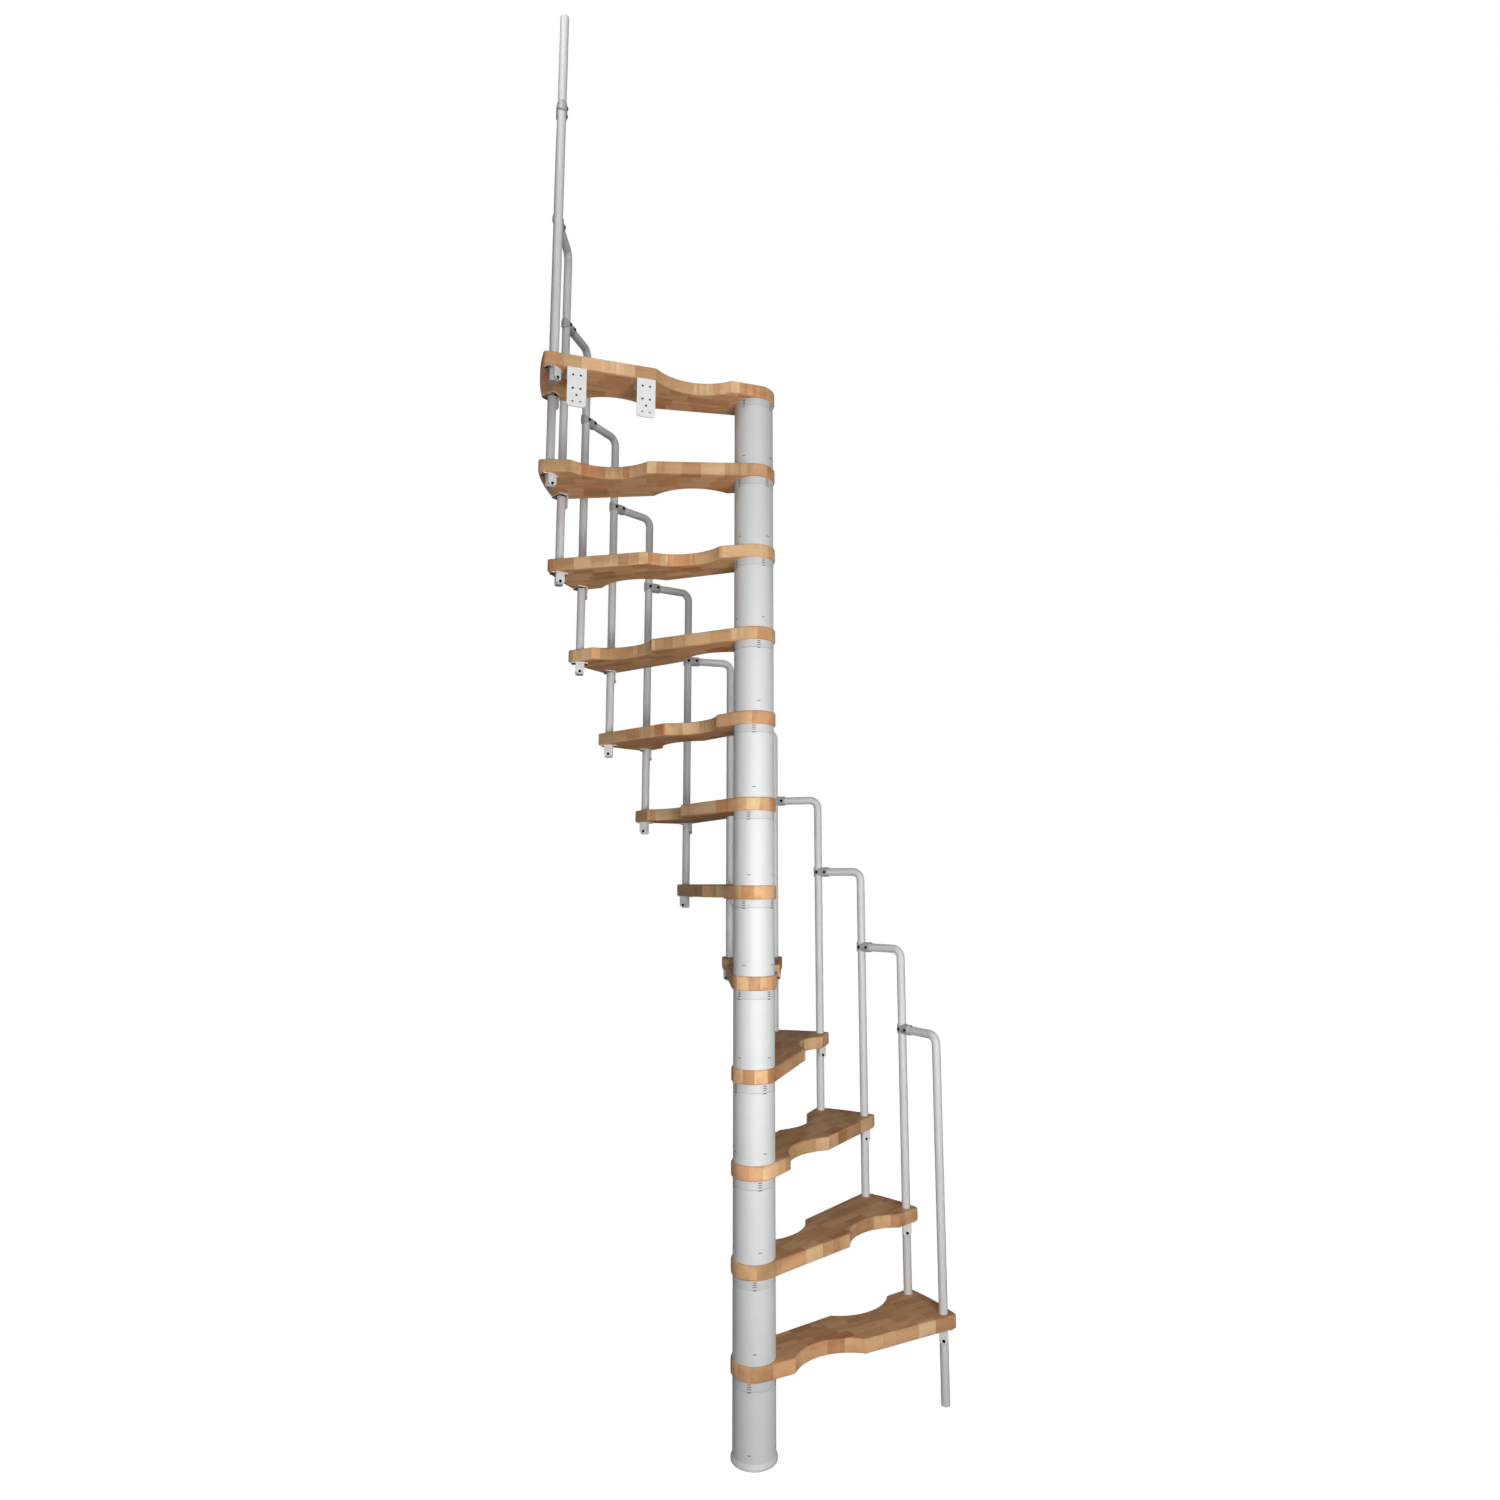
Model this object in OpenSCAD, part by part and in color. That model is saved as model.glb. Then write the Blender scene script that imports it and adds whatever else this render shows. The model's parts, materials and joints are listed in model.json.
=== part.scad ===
// Space-saving winding staircase.
// A stack of column tubes carries twelve timber treads in a spiral that climbs
// anticlockwise. Each tread is cut away on alternate sides so that one foot after
// the other finds room. Bent posts tie the outer ends of the treads together,
// and the top tread is bolted to the upper floor with two hanging plates.
//
// Frame: the column axis is +Z, z = 0 is the lower floor, and the exit edge of
// the top tread lies along X, on the -Y side, where the upper floor begins.

/* [Flight] */
// Height from the top of one tread to the top of the next
riser = 230; // [190:1:245]
// Angle from one tread to the next, in degrees
turn_per_step = 14.75; // [13:0.25:17]

/* [Treads] */
// Thickness of the timber
tread_thickness = 36; // [28:1:45]
// Distance from the column axis to the outer edge of a tread
tread_reach = 593; // [560:1:700]
// Radius of the two outer corners
tread_corner_r = 10; // [4:1:16]
// Timber round the column beyond the tube
tread_collar = 4.7; // [0:0.1:8]
// Depth of each foot cut-out
cutout_depth = 41.5; // [20:0.5:50]
// Distance from the column axis to the near end of the inner cut-out
cutout_start = 84; // [75:1:120]
// Length of full side between the two cut-outs
cutout_gap = 2; // [0:1:30]
// Length of full side from the outer cut-out to the ring of posts
cutout_to_post = 61; // [40:1:90]

/* [Column] */
// Outer diameter of the column tubes
column_d = 108; // [90:1:120]
// Wall of the column tubes
column_wall = 4; // [2:0.5:8]
// Height of the foot collar, with its cone
foot_h = 14; // [8:1:24]
// Height of the straight rim of the foot collar
foot_rim_h = 5.5; // [3:0.5:7]
// How far the foot collar stands out beyond the tube
foot_lip = 4; // [2:0.5:12]

/* [Posts and handrail] */
// Diameter of the posts
post_d = 24; // [18:1:28]
// Distance from the outer edge of a tread to the axis of its posts
post_end_inset = 30; // [22:1:50]
// Distance from the long side of a tread to the axis of its post
post_side_inset = 23.3; // [20:0.1:35]
// Height of the handrail arm's centre above its own tread
arm_h = 729; // [600:1:900]
// Radius of the bend, at the middle of the post
bend_r = 26; // [20:1:40]
// Length of post that hangs below the tread that carries its foot
post_tail = 37; // [20:1:70]
// Height of the last post above the top tread
last_post_h = 1010; // [920:1:1250]
// Free play of a post in the holes that it passes
post_play = 0.2; // [0.1:0.05:0.5]

/* [Handrail clamps] */
// Wall of the sleeve of a clamp
clamp_wall = 2.8; // [2:0.1:5]
// Length of the sleeve from the post's axis
clamp_reach = 37; // [30:1:50]
// Chamfer at the mouth of the sleeve
clamp_chamfer = 1.5; // [0.5:0.5:2.5]
// Gap between the end of an arm and the next post
arm_gap = 2; // [1:0.5:6]

/* [Tread brackets] */
// Length of the bracket plate, across the post
bracket_length = 48; // [44:1:70]
// How far the plate stands back from the face of its tab
bracket_setback = 7.2; // [2:0.1:12]
// Plate beyond the post hole, on the side away from the tab
bracket_margin = 7.8; // [4:0.1:14]
// Radius of the plate's corners on that side
bracket_corner_r = 6; // [2:1:8]
// Angle from the tread's centre line, outwards, to the side of the post that the tab is on
bracket_turn = 135; // [120:1:150]
// Thickness of the bracket metal
bracket_t = 3; // [2:0.5:5]
// Width of the tab that hangs beside the post
tab_w = 25; // [22:1:40]
// Drop of the tab below the tread
tab_drop = 34.5; // [20:0.5:50]
// Radius of the lower corners of the tab
tab_corner_r = 8; // [2:1:10]

/* [Landing brackets] */
// Width of a landing plate
landing_w = 50; // [46:1:70]
// Thickness of a landing plate
landing_t = 4; // [3:0.5:8]
// Length of the leg that is screwed under the top tread
landing_leg = 60; // [40:1:90]
// Radius of the lower corners of a landing plate
landing_corner_r = 9; // [3:1:12]
// Distance from the inner foot cut-out of the top tread to the inner landing plate
landing_cutout_gap = 3; // [1:0.5:60]
// Gap between the outer landing plate and the bracket of the last post
landing_post_gap = 9.8; // [2:0.1:40]
// Diameter of the bolt holes
bolt_hole_d = 6; // [4:0.5:10]
// Distance between the two columns of bolt holes
bolt_pitch_x = 20; // [14:1:28]
// Distance between the rows of bolt holes
bolt_pitch_z = 37; // [25:0.5:60]
// Distance from the tread's underside to the first row of bolt holes
bolt_first_row = 21; // [15:1:40]
// Distance from the last row of bolt holes to the lower edge of the plate
bolt_edge = 13; // [10:1:30]

/* [Hidden] */
// Number of treads
step_count = 12;
// Rows of two bolt holes in a landing plate
bolt_rows = 3;
// How far a cutting shape runs past the face that it cuts
over = 1;
// Facets of a circle
SMOOTH = 96;

post_r = post_d / 2;
hole_r = post_r + post_play;
tail_r = column_d / 2 + tread_collar;
post_ring_r = tread_reach - post_end_inset;
post_step = 2 * post_ring_r * sin(turn_per_step / 2);
arm_length = post_step - post_r - arm_gap;
clamp_r = hole_r + clamp_wall;
tab_face = hole_r + bracket_t;
bracket_front = tab_face - bracket_setback;
bracket_back = hole_r + bracket_margin;
// Angle that a long side of a tread makes with its centre line: both its posts
// then stand the same distance inside their sides
tread_splay = turn_per_step / 2 - asin((tail_r - post_side_inset) / post_ring_r);
// Length of each foot cut-out, so that the two share the free side
cutout_span = (post_ring_r - cutout_to_post - cutout_gap - cutout_start) / 2;
landing_drop = bolt_first_row + (bolt_rows - 1) * bolt_pitch_z + bolt_edge;
exit_face_y = -tail_r;
// Angle from the exit edge to the tab of the last post's bracket
exit_turn = bracket_turn - tread_splay;
stair_top = step_count * riser;

steps = [1 : step_count];
posts = [1 : step_count + 1];

function two_digits(n) = n < 10 ? str("0", n) : str(n);
function tread_name(n) = str("tread_", two_digits(n));
function tube_name(n) = str("column_tube_", two_digits(n));
function post_name(n) = str("post_", two_digits(n));

// Heading of a tread's centre line: the last one puts its rear side along X
function tread_angle(n) = 180 - tread_splay - (step_count - n) * turn_per_step;
// Heading of a post, halfway between the treads that share it
function post_angle(n) = tread_angle(n) - turn_per_step / 2;
function tread_top(n) = n * riser;
function tread_under(n) = tread_top(n) - tread_thickness;
function polar(r, a) = [r * cos(a), r * sin(a)];

// Distances from the column axis to the middles of the landing plates
landing_inner_x = cutout_start + cutout_span + landing_cutout_gap + landing_w / 2;
last_post_x = -polar(post_ring_r, post_angle(step_count + 1)).x;
// How far the last post's bracket reaches from the post's axis along the exit edge
bracket_reach = polar(bracket_length / 2, exit_turn - 90).x - polar(bracket_front, exit_turn).x;
landing_outer_x = last_post_x - bracket_reach - landing_post_gap - landing_w / 2;

STEEL = [0.80, 0.81, 0.82];
STEEL_DARK = [0.62, 0.63, 0.65];
BEECH = [0.79, 0.60, 0.43];
BEECH_DARK = [0.72, 0.52, 0.36];

module foot_collar() {
    rim_r = column_d / 2 + foot_lip;
    color(STEEL_DARK)
    rotate_extrude($fn = SMOOTH)
    polygon([
        [0, 0],
        [rim_r, 0],
        [rim_r, foot_rim_h],
        [column_d / 2, foot_h],
        [0, foot_h]
    ]);
}

module column_tube(n) {
    bottom = n == 1 ? foot_h : tread_top(n - 1);
    height = tread_under(n) - bottom;
    color(STEEL)
    translate([0, 0, bottom])
    difference() {
        cylinder(h = height, d = column_d, $fn = SMOOTH);
        translate([0, 0, -over])
        cylinder(h = height + 2 * over, d = column_d - 2 * column_wall, $fn = SMOOTH);
    }
}

// Unit vectors along one long side of a tread and square to it, outwards.
// side is 1 for the rear side and -1 for the front side.
function side_along(side) = polar(1, side * tread_splay);
function side_out(side) = polar(1, side * (tread_splay + 90));
function on_side(side, along, out) = along * side_along(side) + out * side_out(side);

// Points along an arc, from one angle to another
function arc(centre, r, from, to, parts) =
    [for (i = [0 : parts]) centre + polar(r, from + (to - from) * i / parts)];

// Centre of the round of an outer corner
function corner_centre(side) =
    let (out = tail_r - tread_corner_r)
    on_side(side, sqrt(pow(tread_reach - tread_corner_r, 2) - pow(out, 2)), out);

// Full outline, clockwise: rear corner, outer edge, front corner, round tail
function tread_points() =
    let (
        rear = corner_centre(1),
        front = corner_centre(-1),
        square_on = tread_splay + 90,
        rim = atan2(rear.y, rear.x)
    )
    concat(
        arc(rear, tread_corner_r, square_on, rim, 6),
        arc([0, 0], tread_reach, rim, -rim, 12),
        arc(front, tread_corner_r, -rim, -square_on, 6),
        arc([0, 0], tail_r, -square_on, square_on - 360, 28)
    );

// Round cut-out in a side: a circle through both its ends and its deepest point
module cutout(side, start) {
    half = cutout_span / 2;
    r = (half * half + cutout_depth * cutout_depth) / (2 * cutout_depth);
    translate(on_side(side, start + half, tail_r - cutout_depth + r))
    circle(r = r, $fn = 2 * SMOOTH);
}

module tread_outline(inner_side) {
    outer_start = cutout_start + cutout_span + cutout_gap;
    difference() {
        polygon(tread_points());
        cutout(inner_side, cutout_start);
        cutout(-inner_side, outer_start);
    }
}

// Odd treads have their inner cut-out at the front, even treads at the rear
module tread(n) {
    even = n % 2 == 0;
    color(even ? BEECH : BEECH_DARK)
    rotate(tread_angle(n))
    difference() {
        translate([0, 0, tread_under(n)])
        linear_extrude(tread_thickness)
        tread_outline(even ? 1 : -1);
        for (a = [-1, 1] * turn_per_step / 2)
            translate(concat(polar(post_ring_r, a), tread_under(n) - over))
            cylinder(h = tread_thickness + 2 * over, r = hole_r, $fn = SMOOTH);
    }
}

// Heading of the arm from post n to the next
function arm_angle(n) = post_angle(n) + 90 + turn_per_step / 2;

// Quarter bend and arm, from the top of a straight post at the origin, along +X
module bend_and_arm() {
    translate([bend_r, 0, 0])
    rotate([90, 0, 180])
    rotate_extrude(angle = 90, $fn = SMOOTH)
    translate([bend_r, 0])
    circle(r = post_r, $fn = SMOOTH);
    translate([bend_r, 0, bend_r])
    rotate([0, 90, 0])
    cylinder(h = arm_length - bend_r, r = post_r, $fn = SMOOTH);
}

module post(n) {
    last = n == step_count + 1;
    foot = n == 1 ? 0 : tread_under(n - 1) - post_tail;
    bend_start = tread_top(n) + arm_h - bend_r;
    top = last ? stair_top + last_post_h : bend_start;
    color(STEEL)
    translate(concat(polar(post_ring_r, post_angle(n)), top))
    rotate(arm_angle(n)) {
        translate([0, 0, foot - top])
        cylinder(h = top - foot, r = post_r, $fn = SMOOTH);
        if (!last)
            bend_and_arm();
    }
}

// Plate under the tread, drilled for the post, with a tab that is bent down
// beside the post, out towards +Y
module tread_bracket() {
    translate([0, 0, -bracket_t])
    linear_extrude(bracket_t)
    difference() {
        union() {
            translate([0, bracket_front])
            rounded_drop(bracket_length, bracket_front + bracket_back, bracket_corner_r);
            translate([-tab_w / 2, 0])
            square([tab_w, tab_face]);
        }
        circle(r = hole_r, $fn = SMOOTH);
    }
    translate([0, tab_face, 0])
    rotate([90, 0, 0])
    linear_extrude(bracket_t)
    rounded_drop(tab_w, tab_drop, tab_corner_r);
}

// Plate outline that hangs from the origin, with round lower corners
module rounded_drop(w, drop, r) {
    difference() {
        translate([-w / 2, -drop])
        square([w, drop]);
        for (side = [-1, 1])
            difference() {
                translate([side * (w - r) / 2, -drop + r / 2])
                square([r, r], center = true);
                translate([side * (w / 2 - r), -drop + r])
                circle(r = r, $fn = SMOOTH);
            }
    }
}

module tread_brackets() {
    color(STEEL_DARK)
    for (n = steps, side = [-1, 1])
        translate(concat(polar(post_ring_r, tread_angle(n) + side * turn_per_step / 2), tread_under(n)))
        rotate(tread_angle(n) + side * bracket_turn - 90)
        tread_bracket();
}

// Sleeve on the end of an arm that wraps round the next post, which stands at
// the origin; the arm comes in along +X
module rail_clamp() {
    difference() {
        union() {
            intersection() {
                rotate([0, 90, 0])
                cylinder(h = 4 * clamp_r, r = clamp_r, center = true, $fn = SMOOTH);
                cylinder(h = 4 * clamp_r, r = clamp_r, center = true, $fn = SMOOTH);
            }
            rotate([0, 90, 0])
            rotate_extrude($fn = SMOOTH)
            polygon([
                [0, 0],
                [clamp_r, 0],
                [clamp_r, clamp_reach - clamp_chamfer],
                [clamp_r - clamp_chamfer, clamp_reach],
                [0, clamp_reach]
            ]);
        }
        cylinder(h = 4 * clamp_r, r = hole_r, center = true, $fn = SMOOTH);
        rotate([0, 90, 0])
        cylinder(h = clamp_reach + over, r = hole_r, $fn = SMOOTH);
    }
}

module rail_clamps() {
    color(STEEL_DARK)
    for (n = steps)
        translate(concat(polar(post_ring_r, post_angle(n + 1)), tread_top(n) + arm_h))
        rotate(arm_angle(n) + 180)
        rail_clamp();
}

// Angle bracket: a leg under the top tread and a plate that hangs at its exit edge
module landing_bracket(distance) {
    color(STEEL)
    translate([-distance, exit_face_y, tread_under(step_count)])
    difference() {
        union() {
            translate([0, landing_t, 0])
            rotate([90, 0, 0])
            linear_extrude(landing_t)
            rounded_drop(landing_w, landing_drop, landing_corner_r);
            translate([-landing_w / 2, 0, -landing_t])
            cube([landing_w, landing_leg, landing_t]);
        }
        for (row = [0 : bolt_rows - 1], side = [-1, 1])
            bolt_hole(side * bolt_pitch_x / 2, bolt_first_row + row * bolt_pitch_z);
        bolt_hole(0, landing_drop - bolt_edge - bolt_pitch_z / 2);
    }
}

module bolt_hole(x, drop) {
    translate([x, -over, -drop])
    rotate([-90, 0, 0])
    cylinder(h = landing_t + 2 * over, d = bolt_hole_d, $fn = SMOOTH);
}

foot_collar();
for (n = steps) {
    column_tube(n);
    tread(n);
}
for (n = posts)
    post(n);
tread_brackets();
rail_clamps();
landing_bracket(landing_inner_x);  // landing_bracket_inner
landing_bracket(landing_outer_x);  // landing_bracket_outer
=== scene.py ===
"""Space-saving winding staircase: the looks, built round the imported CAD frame.

Lengths are in metres, in the frame's own axes: the column is +Z, z = 0 is the lower floor.
The treads and the column tubes are rebuilt as finished pieces on the outlines and boxes of
their CAD nodes; posts, brackets, clamps and plates keep their CAD shape and get materials,
screws and plugs.
"""
import json
import math

import bmesh
import bpy
from mathutils import Matrix, Vector
from mathutils.geometry import tessellate_polygon

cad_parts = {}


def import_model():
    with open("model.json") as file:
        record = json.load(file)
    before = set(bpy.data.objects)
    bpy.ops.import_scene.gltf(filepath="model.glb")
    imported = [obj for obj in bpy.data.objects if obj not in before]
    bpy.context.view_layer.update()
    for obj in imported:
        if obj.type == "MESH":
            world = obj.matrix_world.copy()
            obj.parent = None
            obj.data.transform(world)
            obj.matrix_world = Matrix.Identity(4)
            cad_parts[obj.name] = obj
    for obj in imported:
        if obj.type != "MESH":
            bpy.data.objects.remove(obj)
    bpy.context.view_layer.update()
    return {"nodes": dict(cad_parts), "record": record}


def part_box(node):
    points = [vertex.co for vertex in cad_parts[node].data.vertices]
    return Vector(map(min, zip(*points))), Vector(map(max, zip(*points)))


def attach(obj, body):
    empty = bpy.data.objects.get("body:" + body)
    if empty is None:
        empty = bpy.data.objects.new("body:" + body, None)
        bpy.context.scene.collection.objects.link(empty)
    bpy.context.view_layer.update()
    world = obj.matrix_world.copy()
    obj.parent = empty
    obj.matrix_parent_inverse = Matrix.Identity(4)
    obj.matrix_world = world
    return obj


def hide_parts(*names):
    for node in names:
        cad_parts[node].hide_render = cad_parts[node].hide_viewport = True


# ---------------------------------------------------------------- sizes that the frame doesn't give

STEP_COUNT = 12
TREAD_TURN = math.radians(14.75)

# Timber
EDGE_ROUND = 0.0042
EDGE_ROUND_PARTS = 4
STAVE_WIDTH = 0.030
BLOCK_LENGTH = 0.066
STRIP_LENGTH = 0.009
FINGER_DEPTH = 0.003
FINGER_PITCH = 0.005
FLAT_CONTRAST = 0.58
STRIP_CONTRAST = 0.28
RIM_CONTRAST = 0.85

# Column
TUBE_PARTS = 96
TUBE_WALL = 0.004
SLEEVE_HEIGHT = 0.0207
SLEEVE_GAP = 0.0008
MARK_WIDTH = 0.0095
MARK_HEIGHT = 0.0018
MARK_DEPTH = 0.0012
MARK_PITCH = 0.0053
MARK_COUNT = 4
FOOT_MARK_HEIGHT = 0.0262
FOOT_FLOOR = 0.006
CORE_REACH = 0.006
CORE_OVERLAP = 0.001
MARK_ANGLE = math.radians(45)

# Handrail and brackets
ARM_HEIGHT = 0.729
POST_RADIUS = 0.012
CLAMP_RADIUS = 0.015
CLAMP_SCREW_REACH = 0.027
CLAMP_SCREW_RADIUS = 0.0046
BRACKET_TURN = math.radians(135)
BRACKET_THICKNESS = 0.003
TAB_SCREW_DROP = 0.0285
TAB_SCREW_RADIUS = 0.0041
EAR_SCREW_RADIUS = 0.0034
EAR_SCREW_REACH = 0.0182
EAR_SCREW_BACK = 0.006
CLAMP_SCREW_SUNK = 0.0012
CLAMP_SCREW_HEIGHT = 0.0032
TAB_SCREW_HEIGHT = 0.0022
EAR_SCREW_HEIGHT = 0.0018
SCREW_PARTS = 24
PLUG_RADIUS = 0.0116
PLUG_DOME = 0.0010
PLUG_PARTS = 32
LEG_SCREW_RADIUS = 0.0045
LEG_SCREW_HEIGHT = 0.0024
LEG_SCREW_PLACES = (0.42, 0.78)
LEG_LENGTH = 0.060
LANDING_THICKNESS = 0.004
BOLT_HOLE_RADIUS = 0.003
BOLT_SPACING = 0.020
BOLT_ROW_PITCH = 0.037
# painted shade in the landing plates' bolt holes: the walls of the dark rings, thinner in the last row
HOLE_SHADE_WALL = 0.0014
LAST_ROW_HOLE_SHADE_WALL = 0.0006

# ---------------------------------------------------------------- the camera of the photograph

CAMERA_DISTANCE = 2.480
CAMERA_HEIGHT = 1.3945
CAMERA_BEARING = math.radians(17.63)
CAMERA_PITCH = math.radians(7.95)
CAMERA_HEADING = math.radians(-17.39)
CAMERA_LENS_MM = 22.30
CAMERA_SENSOR_MM = 36.0

# ---------------------------------------------------------------- light

# Each light: degrees round to the right of the camera, distance, height, aims at, size and power
LIGHTS = {
    "key": (15, 2.59, 1.30, 1.5, 2.0, 33),
    "near": (28, 2.00, 1.25, 1.25, 1.0, 13),
    "front": (0, 1.40, 1.25, 1.25, 0.5, 6),
    "high_left": (-35, 1.20, 4.10, 3.4, 0.5, 7),
    "high_right": (25, 2.20, 3.90, 2.6, 0.5, 12),
    "overhead": (0, 0.0, 5.30, 0.0, 2.0, 7),
    "left": (-80, 4.0, 1.80, 1.5, 1.6, 8),
    "low": (20, 2.40, 0.25, 1.5, 0.6, 2),
}
LOW_GLOW = 0.49
HIGH_GLOW = 0.01
FLOOR_ALBEDO = 0.38

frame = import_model()


# ---------------------------------------------------------------- places, worked out from the frame

def box_centre(node):
    low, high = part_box(node)
    return (low + high) / 2


last_post = box_centre("post_13")
POST_RING = math.hypot(last_post.x, last_post.y)
LAST_POST_HEADING = math.atan2(last_post.y, last_post.x)
COLUMN_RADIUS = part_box("column_tube_02")[1].x


def number(n):
    return f"{n:02d}"


def tread_heading(n):
    """Heading of the centre line of tread n: the last post stands half a turn past tread 12."""
    return LAST_POST_HEADING - TREAD_TURN / 2 - (STEP_COUNT - n) * TREAD_TURN


def post_heading(n):
    return tread_heading(n) - TREAD_TURN / 2


def arm_heading(n):
    return post_heading(n) + math.pi / 2 + TREAD_TURN / 2


def tread_top(n):
    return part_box(f"tread_{number(n)}")[1].z


def tread_under(n):
    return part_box(f"tread_{number(n)}")[0].z


def on_ring(radius, heading, z):
    return Vector((radius * math.cos(heading), radius * math.sin(heading), z))


def turned(heading):
    return Matrix.Rotation(heading, 4, "Z")


# ---------------------------------------------------------------- material nodes

class Nodes:
    """A short way to write a node tree: new() adds a node, and inputs may be sockets or values."""

    def __init__(self, name):
        self.material = bpy.data.materials.new(name)
        self.material.use_nodes = True
        self.tree = self.material.node_tree
        self.tree.nodes.clear()
        self.output = self.tree.nodes.new("ShaderNodeOutputMaterial")
        self.shader = self.tree.nodes.new("ShaderNodeBsdfPrincipled")
        self.tree.links.new(self.shader.outputs["BSDF"], self.output.inputs["Surface"])

    def new(self, kind, settings=None, **inputs):
        node = self.tree.nodes.new("ShaderNode" + kind)
        for key, value in (settings or {}).items():
            setattr(node, key, value)
        for key, value in inputs.items():
            self.put(node, key, value)
        return node

    def put(self, node, key, value):
        socket = node.inputs[int(key[1:]) if key[0] == "_" else key]
        if isinstance(value, bpy.types.NodeSocket):
            self.tree.links.new(value, socket)
        else:
            socket.default_value = value

    def math(self, operation, a, b=0.0):
        return self.new("Math", {"operation": operation}, _0=a, _1=b).outputs[0]

    def finish(self, **inputs):
        for key, value in inputs.items():
            self.put(self.shader, key.replace("_", " "), value)
        return self.material


def colour_ramp(nodes, value, stops):
    """stops is a list of (position, (red, green, blue)); the blend between them is linear."""
    ramp = nodes.new("ValToRGB", Fac=value)
    elements = ramp.color_ramp.elements
    while len(elements) < len(stops):
        elements.new(0.5)
    for element, (position, colour) in zip(elements, stops):
        element.position = position
        element.color = (*colour, 1)
    return ramp.outputs["Color"]


def spread(nodes, value, low, high):
    """value, from 0 to 1, spread over low to high."""
    node = nodes.new("MapRange", Value=value)
    node.inputs["To Min"].default_value = low
    node.inputs["To Max"].default_value = high
    return node.outputs["Result"]


def noise(nodes, position, scale, detail=2.0, roughness=0.5):
    node = nodes.new("TexNoise", Vector=position, Scale=scale, Detail=detail, Roughness=roughness)
    return node.outputs["Fac"]


def scaled(nodes, position, factors):
    node = nodes.new("VectorMath", {"operation": "MULTIPLY"}, _0=position, _1=factors)
    return node.outputs["Vector"]


def mixed(nodes, share, first, second):
    """first, with a share of second, between two colours or two vectors."""
    node = nodes.new("Mix", {"data_type": "VECTOR"}, Factor=share)
    nodes.put(node, "_4", first)
    nodes.put(node, "_5", second)
    return node.outputs[1]


def tinted(nodes, colour, value):
    """colour, made lighter or darker by value."""
    node = nodes.new("VectorMath", {"operation": "SCALE"}, _0=colour, Scale=value)
    return node.outputs["Vector"]


# ---------------------------------------------------------------- materials

# A point's place in its tread's own axes: along, across, and height plus the number of the tread
TIMBER_PLACE = "timber_place"

BEECH_TONES = [
    (0.00, (0.405, 0.215, 0.096)),
    (0.20, (0.485, 0.278, 0.132)),
    (0.45, (0.560, 0.338, 0.168)),
    (0.70, (0.615, 0.385, 0.198)),
    (0.90, (0.675, 0.450, 0.243)),
    (1.00, (0.710, 0.485, 0.270)),
]
BEECH_MEAN = (0.565, 0.343, 0.172)
YELLOW_BLOCK = (1.00, 1.02, 1.02)
RED_BLOCK = (1.06, 0.95, 0.95)
DARK_BLOCK = (0.88, 0.72, 0.62)
FLAME_TONE = (0.74, 0.62, 0.54)
# painted light and shade on the timber: tops darker, undersides and rims lighter
TOP_PAINTED_SHADE = (0.98, 0.92, 0.88)
UNDER_PAINTED_LIGHT = (1.22, 1.14, 1.10)
RIM_PAINTED_LIGHT = (1.13, 1.16, 1.18)


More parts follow.
